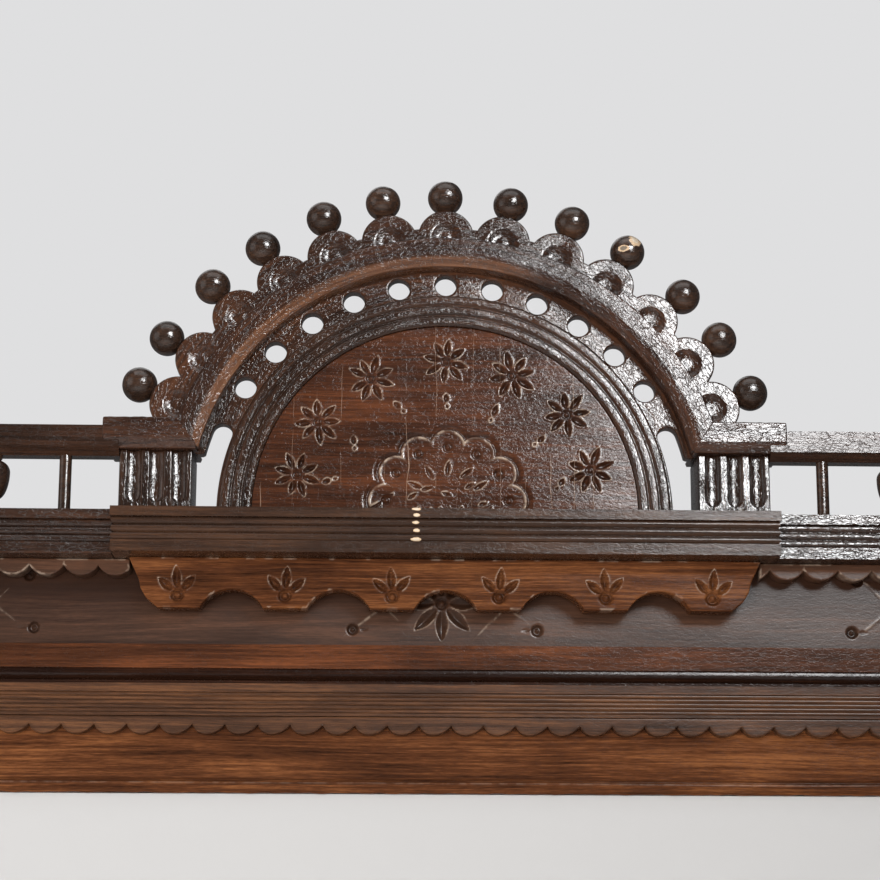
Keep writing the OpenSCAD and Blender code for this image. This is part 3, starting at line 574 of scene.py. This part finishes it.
# --- the carved panel
MARKS = []
FLOWERS = {k: on_ring(149, 24 * k, FLOOR) for k in range(-3, 4)}
for k, (dx, dz) in {-3: (7, -5), -2: (-6, -9), -1: (-8, -4), 3: (-10, 1)}.items():
    FLOWERS[k] = (FLOWERS[k][0] + dx, FLOWERS[k][1] + dz)
for k, (cx, cz) in FLOWERS.items():
    twist = rng.normal(0, 0.10) + math.radians(-24 * k)
    big = 1.0 + 0.05 * (k > 0)
    for i in range(8):
        MARKS.append((cx, cz, twist + math.pi / 4 * i + rng.normal(0, 0.06), 5.5 + rng.uniform(-0.8, 0.8),
                      (21 + rng.uniform(-2, 1.5)) * big, (6.2 + rng.normal(0, 0.5)) * big,
                      rng.uniform(3.0, 3.8)))
PIPS = [(*FLOWERS[k], 4.4, 2.2) for k in FLOWERS]
for k in range(-3, 4):
    cx, cz = on_ring(113 + rng.normal(0, 2), 24 * k + rng.normal(0, 1.5), FLOOR)
    turn = math.pi / 2 - math.radians(24 * k) + rng.normal(0, 0.4)
    length = 12 if k == 1 else 8
    MARKS.append((cx, cz, turn, -length / 2, length / 2, 5.0, 2.4))
    MARKS.append((cx, cz, turn, -length / 2 - 6, -length / 2 - 2, 2.8, 1.3))
CLOUD = [on_ring(56, 28 * k, FLOOR + 12) for k in range(-3, 4)]
for k, (cx, cz) in zip(range(-3, 4), CLOUD):
    PIPS.append((cx + 2, cz, 4.6, 2.0))
    if abs(k) < 3:
        x, z = on_ring(36, 28 * k, FLOOR + 12)
        MARKS.append((x + 2, z, math.radians(90 - 28 * k) + rng.normal(0, 0.35), -7, 7, 4.6, 2.0))
# small cuts inside the cloud: across, up from the cornice, turn and length
SMALL_CUTS = ((-30, 22, 0.5, 10), (-17, 29, 0.3, 11), (1, 24, -0.3, 9), (22, 32, 0.6, 9), (34, 15, 0.3, 8),
              (-26, 8, 1.4, 9), (-14, 7, 1.5, 8), (-5, 8, 1.7, 8), (3, 8, 1.4, 8), (14, 8, 1.6, 10),
              (40, 9, 1.0, 8), (-50, 20, 0.9, 10))
for x, z, turn, size in SMALL_CUTS:
    MARKS.append((x, FLOOR + z, turn + rng.normal(0, 0.15), -size / 2, size / 2, 3.6, 1.8))


def cloud(x, z):
    """Distance outside the scalloped cloud in the middle of the panel."""
    d = np.hypot(x - 2, z - FLOOR - 12) - 58
    for i, (cx, cz) in enumerate(CLOUD):
        lobe = np.hypot(x - 2 - cx, z - cz) - 16.5
        d = np.minimum(d, lobe if i else np.maximum(lobe, FLOOR + 16 + 0.6 * (x + 60) - z))
    return d


def panel_cut(x, z):
    cut = np.zeros_like(x)
    for m in MARKS:
        near = np.hypot(x - m[0], z - m[1]) < 27
        cut[near] = deepest(cut[near], lipped(x[near], z[near], *m, sharp=1.25))
    for p in PIPS:
        near = np.hypot(x - p[0], z - p[1]) < 9
        cut[near] = deepest(cut[near], pip(x[near], z[near], *p))
    t = cloud(x, z)
    sunk = 2.6 * np.clip(1 - t / 5.5, 0, 1) ** 1.3 * np.clip(t / 0.7, 0, 1)
    lip = 0.8 * np.exp(-((t + 1.2) / 1.1) ** 2)
    return deepest(cut, np.where(z > FLOOR + 3, sunk - lip, 0))


def carved(cut, ground):
    """The relief of a carved face: cuts at full depth, lips half a millimetre proud."""
    return lambda x, z: ground(x, z) - np.where(cut(x, z) > 0, cut(x, z), 0.5 * cut(x, z))


X, Z = flat_grid(spaced(-176.5, 176.5, 0.85), spaced(FLOOR - 1, CZ + 176.5, 0.85))
slab("carved_panel", PANEL, "red_varnished_wood", ["tympanum_panel"], X, Z,
     lambda x, z: np.maximum(np.hypot(x, z - CZ) - 175.4, FLOOR - z), -2, 5.9, cut=panel_cut,
     relief=carved(panel_cut, lambda x, z: ripple(x, z, 3, 55, 0.16, 2.5)), edge=0.7)

# --- the reeded frame and the hood
def frame_relief(x, z):
    r = np.hypot(x, z - CZ)
    t = ((r - 175.5) / 29 * 3) % 1.0
    groove = np.exp(-((np.minimum(t, 1 - t) - 0.03) / 0.085) ** 2)
    return 0.5 * (1 - (2 * t - 1) ** 2) - 0.5 - 1.7 * groove + ripple(x, z, 5, 40, 0.12)


X, Z = polar_grid(spaced(175, 205.1, 0.75), 1.5)
slab("reeded_half_ring", FRAMED, "dark_varnished_wood", ["reeded_frame"], X, Z,
     lambda x, z: np.maximum(np.abs(np.hypot(x, z - CZ) - 190) - 14.5, FLOOR - z), -6, 5.9,
     relief=frame_relief, edge=0.8)


def hood_inner(x, z):
    """The inner edge of the hood's face: sawn in short flats and worn."""
    a = np.degrees(np.arctan2(z - CZ, x))
    flat = 0.9 * np.abs(((a + 4) / 14.5) % 1.0 - 0.5) * 2
    return 240.0 + flat + 0.35 * np.sin(np.radians(a) * 23) + 0.25 * np.sin(np.radians(a) * 57 + 1)


def hood_relief(x, z):
    r = np.hypot(x, z - CZ)
    rise = np.clip((hood_inner(x, z) - r) / 9.0, 0, 1)
    wear = 0.5 * np.exp(-((r - hood_inner(x, z)) / 1.2) ** 2)
    return -4 * rise - wear + ripple(x, z, 11, 60, 0.2)


def beyond_mitre(x, z):
    """How far a point is past the mitre between the hood and its caps, on the caps' side."""
    way = (MITRE_TOP - MITRE_FOOT) / np.linalg.norm(MITRE_TOP - MITRE_FOOT)
    return (np.abs(x) - MITRE_FOOT[0]) * way[1] - (z - CZ - MITRE_FOOT[1]) * way[0]


def hood_sdf(x, z):
    r = np.hypot(x, z - CZ)
    ring = np.abs(r - 244.35) - 13.15
    return np.maximum(ring, beyond_mitre(x, z) - MITRE_LAP)


X, Z = polar_grid(spaced(230.7, 258, 0.9), 1.5)
slab("hood_moulding", HOODED, "dark_varnished_wood", ["hood_arch"], X, Z, hood_sdf, -14, 5.9,
     relief=hood_relief, edge=1.1)


def cap_sdf(x, z):
    ax = np.abs(x)
    slant = (ax - 310.5 + (319 - z) * 4 / 9.5) * 0.92
    worn = ripple(x, z, 61, 9, 0.16) * (z > 325)
    return np.maximum.reduce([-MITRE_LAP - beyond_mitre(x, z), ax - 310.5 + worn, slant, z - 338 + worn,
                              309.5 - z])


def cap_relief(x, z):
    line = 319 + ripple(x, z, 62, 30, 0.35, 3)
    return -4 * np.clip((line - z) / 9.2, 0, 1) + ripple(x, z, 63, 26, 0.28, 2)


for side, word in ((-1, "left"), (1, "right")):
    X, Z = flat_grid(side * spaced(222, 311, 0.9)[::side], spaced(309, 338.5, 0.9))
    slab(f"hood_cap_{word}_worn", CAPPED, "dark_varnished_wood", [f"hood_cap_{word}"], X, Z, cap_sdf, -14, 44,
         relief=cap_relief, edge=1.3)

# --- the board with its holes, slots and lobes
BOARD_RADIUS = 274.5
LOBE_RING, LOBE_RADIUS, DISH_RADIUS = 266, 26, 13.5
HOLE_RING, HOLE_RADIUS, HOLE_PITCH = 218.4, 10, 11.46
SLOT_RING, SLOT_HALF, SLOT_HEAD = 217.2, 9.2, math.radians(20)
LOBE_AT = [on_ring(LOBE_RING, turn) for turn in LOBE_TURN]
HOLE_AT = [on_ring(HOLE_RING, HOLE_PITCH * k) for k in range(-5, 6)]


def board_sdf(x, z):
    r = np.hypot(x, z - CZ)
    d = r - BOARD_RADIUS
    for cx, cz in LOBE_AT:
        d = np.minimum(d, np.hypot(x - cx, z - cz) - LOBE_RADIUS)
    for cx, cz in HOLE_AT:
        d = np.maximum(d, HOLE_RADIUS - np.hypot(x - cx, z - cz))
    a = np.arctan2(z - CZ, np.abs(x))
    hx, hz = SLOT_RING * math.cos(SLOT_HEAD), SLOT_RING * math.sin(SLOT_HEAD)
    bar = np.maximum(np.abs(r - SLOT_RING) - SLOT_HALF, np.degrees(a - SLOT_HEAD) * 3.8)
    slot = np.minimum(bar, np.hypot(np.abs(x) - hx, z - CZ - hz) - SLOT_HALF)
    under_cap = np.maximum(212 - np.abs(x), z - FLOOR - 61.5)
    corner = np.maximum(230 - np.abs(x), z - FLOOR - 91)
    return np.maximum.reduce([d, -slot, -under_cap, -corner, FLOOR - z])


def board_relief(x, z):
    lift = ripple(x, z, 17, 45, 0.16)
    for i, (cx, cz) in enumerate(LOBE_AT):
        r = np.hypot(x - cx, z - cz)
        bump = 0.45 if i < 8 else 0.1
        dish = 3.2 * np.clip(1 - (r / DISH_RADIUS) ** 3, 0, 1) * (1 - bump * np.exp(-(r / 4.5) ** 2))
        lift = lift - np.where(r < DISH_RADIUS, dish, 0) - 0.6 * np.exp(-(r / 1.5) ** 2)
    return lift


def board_cut(x, z):
    return np.maximum.reduce([0.5 * (np.hypot(x - cx, z - cz) < 12) for cx, cz in LOBE_AT])


radii = np.concatenate([[3, 40, 90, 140, 170], spaced(176, 202, 9), spaced(204, 293.5, 1.25)])
X, Z = polar_grid(radii, 1.35)
slab("pierced_board", ARCHED, "red_varnished_wood", ["pediment_board"], X, Z, board_sdf, 6, 20,
     cut=board_cut, relief=board_relief, edge=1.4, full_back=True)

# --- the apron
ARCH_PITCH, ARCH_HALF, ARCH_RISE, ARCH_CROWN = 95.2, 27.9, 17, 179
SPRIGS = [((i + 0.5) * ARCH_PITCH, 173) for i in range(-3, 3)]


def apron_sdf(x, z):
    ax = np.abs(x)
    slant = np.interp(207 - z, (0, 19, 27.5, 36, 45), (0, 9, 11, 16, 27))
    d = np.maximum.reduce([(ax - 282 + slant) * 0.88, z - 206.9, 162 - z])
    arch_r = (ARCH_HALF ** 2 + ARCH_RISE ** 2) / (2 * ARCH_RISE)
    for i in range(-2, 3):
        d = np.maximum(d, arch_r - np.hypot(x - i * ARCH_PITCH, z - (ARCH_CROWN - arch_r)))
    return d


def apron_cut(x, z):
    cut = np.zeros_like(x)
    for i, (cx, cz) in enumerate(SPRIGS):
        for turn, length in ((134, 17), (90, 20), (46, 17)):
            turn = math.radians(turn + 4 * math.sin(i * 3 + turn))
            cut = deepest(cut, lipped(x, z, cx, cz, turn, 6, 6 + length, 7.6, 3.6, sharp=1.1))
        cut = deepest(cut, pip(x, z, cx, cz, 6.0, 2.9))
    # pale patches along the apron's edges: painted highlight, partly wear
    rim_glint_and_wear = (apron_sdf(x, z) > -1.6) & (ripple(x, z, 61, 22, 1.0) > 0.45)
    return np.where((cut <= 0) & rim_glint_and_wear, -0.3, cut)


def apron_ground(x, z):
    return 1.6 * np.clip((z - 195.6) / 1.2, 0, 1) + ripple(x, z, 23, 60, 0.18, 2)


X, Z = flat_grid(spaced(-282.5, 282.5, 0.95), spaced(161.5, 207.5, 0.85))
slab("arched_apron", RED, "red_varnished_wood", ["apron"], X, Z, apron_sdf, -20, 0, cut=apron_cut,
     relief=carved(apron_cut, apron_ground), edge=0.9)

# --- scalloped strips
FOOT_ARC = {"pitch": 28.56, "drop": 8, "foot": 51, "top": 66.9, "lean": 0.25}
SIDE_ARC = {"pitch": 30.8, "drop": 9, "foot": 192, "top": 206.9}


def arcs_sdf(start, x0, x1, pitch, drop, foot, top, lean=0.0):
    """A strip from x0 to x1 whose lower edge is a row of hanging arcs, one of them centred on start."""
    half = pitch / 2
    radius = (half ** 2 + drop ** 2) / (2 * drop)

    def sdf(x, z):
        shift = lean * (z - foot)
        i = np.round((x - shift - start) / pitch)
        worn = 0.5 * np.sin(i * 12.9898 + 3)
        d = np.hypot(x - shift - start - i * pitch - worn, z - (foot + radius)) - radius
        d = np.where(z > foot + radius, -radius, d)
        return np.maximum.reduce([d, x0 - x, x - x1, z - top])
    return sdf


def strip_relief(x, z):
    return ripple(x, z, 31, 35, 0.15, 3)


X, Z = flat_grid(spaced(-702.5, 702.5, 1.0), spaced(50.5, 67.5, 0.85))
foot_arcs = arcs_sdf(-10.8, -702, 702, **FOOT_ARC)
points, faces = slab_mesh(X, Z, foot_arcs, -10, 1.9, relief=strip_relief, edge=1.0)
# painted shadow sits in the notches between the arcs
notch = (points[:, 2] > 55.5) & (points[:, 2] < 61)
notch_shadow = np.where((foot_arcs(points[:, 0], points[:, 2]) > -2.4) & notch, 1.1, 0)
side_x, side_z = flat_grid(spaced(-10.5, 50.5, 1.0), spaced(50.5, 67.5, 0.85))
for side in (-1, 1):
    more, cells = slab_mesh(side_x, side_z, arcs_sdf(5, 1.2, 50, **FOOT_ARC), 0, 11.9, edge=1.0)
    turned = np.stack([side * (702 - more[:, 1]), more[:, 0], more[:, 2]], 1)
    cells = [c if side > 0 else c[::-1] for c in cells]
    faces += [[i + len(points) for i in c] for c in cells]
    points = np.concatenate([points, turned])
strip = to_object("foot_scallops", points, faces, WAISTED, "dark_varnished_wood", "lower_scallop_strip")
store_depth(strip, np.concatenate([notch_shadow, np.zeros(len(points) - len(notch_shadow))]))

for side, word, first in ((-1, "left", 294.6), (1, "right", 306.9)):
    X, Z = flat_grid(spaced(281.5, 704.5, 0.95), spaced(191.5, 207.5, 0.9))
    arcs = arcs_sdf(first, 282, 704, **SIDE_ARC)
    points, faces = slab_mesh(X, Z, arcs, -12, 5.9, relief=strip_relief, edge=1.0)
    px, pz = points[:, 0], points[:, 2]
    # pale patches along the strips' lower edges: painted highlight, partly wear
    rim_glint_and_wear = (arcs(px, pz) > -1.5) & (ripple(px, pz, 67, 25, 1.0) > 0.3)
    worn = np.where(rim_glint_and_wear & (points[:, 1] < -10.6), -0.35, 0)
    X, Z = flat_grid(spaced(5.5, 50.5, 3), spaced(191.5, 207.5, 3))
    more, cells = slab_mesh(X, Z, lambda x, z: np.maximum.reduce([6 - x, x - 50, 192 - z, z - 206.9]),
                            0, 17.9, edge=0.8)
    faces += [[i + len(points) for i in c] for c in cells]
    points = np.concatenate([points, np.stack([704 - more[:, 1], more[:, 0], more[:, 2]], 1)])
    points[:, 0] *= side
    if side < 0:
        faces = [f[::-1] for f in faces]
    strip = to_object(f"cornice_scallops_{word}", points, faces, SMOKED, "dark_varnished_wood",
                      f"side_scallop_{word}")
    store_depth(strip, np.concatenate([worn, np.zeros(len(points) - len(worn))]))

# --- the frieze
ROSETTES = (-460, 0, 460)


def drilled(r):
    """A drilled hollow with a small dome left in its middle, at distance r from its centre."""
    bowl = np.where(r < 5.4, 4.6 * np.clip(2.2 - r / 2.5, 0, 1), 0)
    return bowl * (1 - 0.75 * np.exp(-(r / 1.7) ** 2))


def frieze_cut(x, z):
    cut = np.zeros_like(x)
    for cx in ROSETTES:
        near = np.abs(x - cx) < 100
        u, v = x[near], z[near]
        c = np.zeros_like(u)
        for i in range(8):
            c = deepest(c, lipped(u, v, cx - 3, 171.5, math.pi / 4 * i, 7, 34, 10.5, 4.0, sharp=1.15))
        c = deepest(c, pip(u, v, cx - 3, 171.5, 5.5, 2.6))
        for side in (-1, 1):
            for turn in (-0.66, 0.80):
                end = 30 - 10 * (turn > 0)
                c = deepest(c, -lens(u, v, cx + side * 55, 169, side * turn, -46, end, 3.2, 0.4))
            for up in (-1, 1):
                hx = cx + side * (83 if cx == 0 else 92 - 6 * (up > 0))
                hz = 177 + (18 if up > 0 else -29.5)
                c = deepest(c, drilled(np.hypot(u - hx, v - hz)))
                c = deepest(c, lens(u, v, hx, hz, 0 if side < 0 else math.pi, 6, 14, 3.0, 1.0))
        cut[near] = c
    return cut


X, Z = flat_grid(uneven(-687, 687, 0.95, 5.0, ROSETTES, 104), spaced(66.5, 236.5, 1.0))
slab("carved_frieze", CORNICE_SHADED, "dark_varnished_wood", ["frieze_board"], X, Z,
     lambda x, z: np.maximum.reduce([np.abs(x) - 686, 67 - z, z - 235.9]), 6, 27.9, cut=frieze_cut,
     relief=carved(frieze_cut, lambda x, z: ripple(x, z, 41, 70, 0.22, 3)), edge=0.6)

# --- the foot rail
def foot_sdf(x, z):
    ragged = 0.35 + 0.35 * np.sin(x / 23.0) * np.sin(x / 7.1 + 1) + 0.25 * np.sin(x / 3.3)
    return np.maximum.reduce([np.abs(x) - 690, ragged - z, z - 66.9])


def foot_relief(x, z):
    groove = 2.0 * np.exp(-((z - 11.5 - 0.25 * np.sin(x / 60)) / 1.5) ** 4)
    return ripple(x, z, 47, 70, 0.22, 4) - groove


def foot_groove_shade_and_highlight(x, z):
    """Painted shade in the groove, and a painted highlight along its lower edge."""
    return 1.5 * np.exp(-((z - 11.7) / 1.0) ** 4) - 0.15 * np.exp(-((z - 9.6) / 0.8) ** 2)


heights = np.concatenate([spaced(-0.5, 8, 1.6), spaced(9, 14.4, 0.6), spaced(16, 67.5, 3)])
X, Z = flat_grid(spaced(-690.5, 690.5, 1.6), heights)
slab("foot_rail", RED, "red_varnished_wood", ["base_rail"], X, Z, foot_sdf, 2, 27.9, cut=foot_groove_shade_and_highlight,
     relief=foot_relief, edge=0.8)

# --- the pedestals
def flute_relief(middle, spacing, count, low):
    def relief(x, z):
        out = ripple(x, z, 53, 30, 0.15, 0.5)
        for i in range(count):
            cx = middle + (i - (count - 1) / 2) * spacing
            t = np.abs(x - cx - 0.18 * np.sin(z / 9 + i)) / 6.9
            rise = np.clip((z - low) / 7, 0, 1)
            t = t / np.maximum(np.sqrt(1 - (1 - rise) ** 2), 0.05)
            out = out - 4.2 * np.sqrt(np.clip(1 - t ** 2, 0, 1))
        return out
    return relief


for side, word in ((-1, "left"), (1, "right")):
    middle = side * 262.75
    X, Z = flat_grid(middle + spaced(-33.3, 33.3, 0.7), spaced(FLOOR - 0.5, 310, 0.9))
    slab(f"fluted_pedestal_{word}", UPRIGHT, "dark_varnished_wood", [f"pedestal_{word}"], X, Z,
         lambda x, z, c=middle: np.maximum.reduce([np.abs(x - c) - 32.75, FLOOR - z, z - 309.4]), -4, 44,
         relief=flute_relief(middle + 1, 20.4, 3, 261), edge=1.2)

# --- balls and balusters
BALL_RING, BALL_RADIUS, CHIPPED_BALL = 306.5, 16.35, 10
for number, (lobe, off) in enumerate(zip(LOBE_TURN, BALL_OFF), 1):
    cx, cz = on_ring(BALL_RING, lobe + off)
    bm = bmesh.new()
    bmesh.ops.create_uvsphere(bm, u_segments=48, v_segments=32, radius=1.0)
    turn = Matrix.Rotation(math.radians(lobe + off), 3, "Y")
    phase = rng.uniform(0, 6, 3)
    pts, cells = [], [[v.index for v in f.verts] for f in bm.faces]
    for v in bm.verts:
        n = v.co.normalized()
        r = BALL_RADIUS + 0.12 * math.sin(3 * n.x + phase[0]) + 0.12 * math.sin(4 * n.y + phase[1])
        flat = 1 - 0.03 * n.z ** 2
        p = turn @ Vector((n.x * r, n.y * r, n.z * r * flat))
        pts.append((cx + p.x, 13 + p.y, cz + p.z))
    bm.free()
    finish = CHIPPED if number == CHIPPED_BALL else TURNED
    to_object(f"ball_{number:02d}", pts, cells, finish, "turned_wood", f"ball_finial_{number:02d}")

BULB = [(4.8 + 10.2 * math.cos(math.radians(a)), 41 + (25 if a < 0 else 10) * math.sin(math.radians(a)))
        for a in range(-90, 62, 5)]
BASE = [(0.5, 0), (8, 0), (9.6, 1), (10, 3.5), (9.6, 6), (7.8, 7.4), (7.2, 9), (5.4, 11), (4.8, 14)]
TURNING = BASE + BULB + [(6.4, 51.5), (7.6, 52.8), (8, 54), (8, 55.9), (0.5, 55.9)]
for side, word in ((-1, "left"), (1, "right")):
    for where, x in (("inner", 409), ("outer", 539)):
        lathe(f"spindle_{word}_{where}", TURNED, "turned_wood", [f"baluster_{word}_{where}"], TURNING,
              (side * x, -2, FLOOR), seed=x)

# ------------------------------------------------------------------ camera, stage and light
def aim(obj, at, to):
    obj.location = at
    obj.rotation_euler = (Vector(to) - Vector(at)).to_track_quat("-Z", "Y").to_euler()


def block(name, low, high, mat):
    mesh = bpy.data.meshes.new(name)
    bm = bmesh.new()
    bmesh.ops.create_cube(bm, size=1.0)
    for v in bm.verts:
        v.co = [low[i] + (v.co[i] + 0.5) * (high[i] - low[i]) for i in range(3)]
    bm.to_mesh(mesh)
    bm.free()
    obj = bpy.data.objects.new(name, mesh)
    bpy.context.scene.collection.objects.link(obj)
    mesh.materials.append(mat)


def pale(name, value):
    mat, g = blank(name)
    return g.surface(mat, Base_Color=(value, value, value * 1.01, 1), Roughness=0.9)


FLOOR_Z = -0.75
block("floor", (-6, -6, FLOOR_Z - 0.05), (6, 6, FLOOR_Z), pale("floor_white", 0.78))
block("plinth", (-0.86, 0.008, FLOOR_Z), (0.86, 0.30, 0.0), pale("plinth_white", 0.5))


def softbox(name, at, to, size, power, colour=(1, 1, 1)):
    data = bpy.data.lights.new(name, "AREA")
    data.shape = "RECTANGLE"
    data.size, data.size_y = size
    data.energy = power
    data.color = colour
    obj = bpy.data.objects.new(name, data)
    bpy.context.scene.collection.objects.link(obj)
    aim(obj, at, to)
    return obj


# the key makes only highlights and the fill only diffuse light, so each is set by itself
key = softbox("key", (0.74, -1.76, 1.03), (0.1, 0, 0.34), (0.76, 0.62), 70, (0.98, 0.99, 1.0))
key.visible_diffuse = False
softbox("fill", (-0.5, -2.3, 0.0), (0.0, 0, 0.25), (1.8, 1.2), 60, (1.0, 0.97, 0.93)).visible_glossy = False
softbox("left", (-2.3, -1.0, 0.7), (0, 0, 0.3), (1.6, 1.6), 9)
softbox("top", (0.0, -0.6, 2.2), (0, 0, 0.2), (2.4, 1.2), 16)
softbox("back", (-0.6, 2.0, 2.6), (0, 0, 0.2), (2.2, 1.6), 12)

# an even, pale background for the camera, and a dimmer room that lights the object
world = bpy.data.worlds.new("studio")
bpy.context.scene.world = world
world.use_nodes = True
w = Graph(world.node_tree)
seen = w.node("LightPath").outputs["Is Camera Ray"]
room = w.node("Background", inputs={"Color": (0.52, 0.52, 0.53, 1), "Strength": 0.26})
wall = w.node("Background", inputs={"Color": (*lin(223, 223, 224), 1), "Strength": 1.0})
both = w.node("MixShader", inputs={0: seen, 1: room.outputs[0], 2: wall.outputs[0]})
w.node("OutputWorld", inputs={"Surface": both.outputs[0]})

SENSOR = 36             # millimetres
IMAGE_WIDTH = 880
FOCAL_PIXELS = 2000
camera_data = bpy.data.cameras.new("camera")
camera_data.lens = SENSOR * FOCAL_PIXELS / IMAGE_WIDTH
camera_data.sensor_width = SENSOR
camera_data.shift_y = 0.15
camera_data.clip_end = 50
camera = bpy.data.objects.new("camera", camera_data)
bpy.context.scene.collection.objects.link(camera)
camera.location = (-0.048, -1.768, -0.146)
camera.rotation_mode = "XYZ"
pitch, yaw, roll = math.radians(11.05), math.radians(1.40), math.radians(0.17)
facing = (Matrix.Rotation(-yaw, 4, "Z") @ Matrix.Rotation(math.pi / 2 + pitch, 4, "X")
          @ Matrix.Rotation(roll, 4, "Z"))
camera.rotation_euler = facing.to_euler()
bpy.context.scene.camera = camera
bpy.context.scene.view_settings.view_transform = "Standard"
